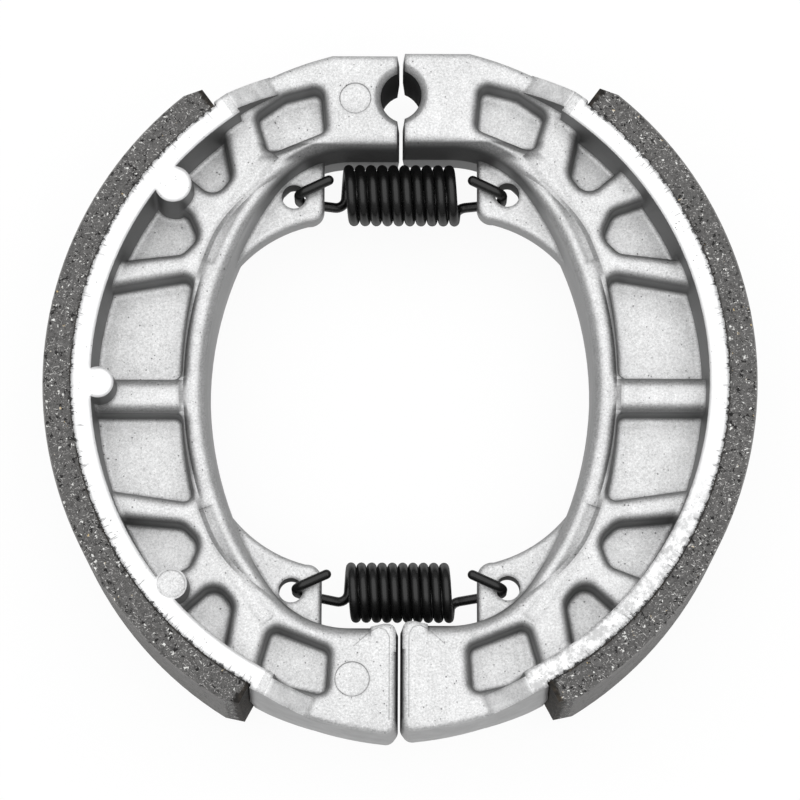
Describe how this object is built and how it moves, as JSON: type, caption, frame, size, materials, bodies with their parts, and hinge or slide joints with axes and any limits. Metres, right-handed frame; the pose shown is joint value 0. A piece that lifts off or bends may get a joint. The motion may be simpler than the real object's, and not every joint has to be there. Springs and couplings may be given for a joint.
{
  "type": "brake shoe pair",
  "caption": "Pair of cast drum brake shoes with bonded friction linings, sprung together around an open centre and hinged at the anchor end.",
  "frame": {"origin": "on the drum's axis, at the back face that the pair lies on", "axes": "+X across the pair to the plain-faced shoe, +Y from the cam ends to the anchor ends, +Z along the drum's axis to the front"},
  "size_m": [0.1042, 0.1025, 0.025],
  "materials": {
    "casting": "blasted",
    "lining": "matte",
    "spring": "satin"
  },
  "bodies": {
    "left_side": {"left_shoe": "casting", "left_lining": "lining", "anchor_spring": "spring", "cam_spring": "spring"},
    "right_side": {"right_shoe": "casting", "right_lining": "lining"}
  },
  "joints": [
    {"name": "shoe_swing", "type": "hinge", "parent": "left_side", "child": "right_side", "pos_m": [0, 0.0439, 0], "axis": [0, 0, 1], "range_deg": [0, 3], "stiffness_Nm_per_rad": 34, "springref_deg": -2.29, "deforming": ["anchor_spring", "cam_spring"]}
  ]
}
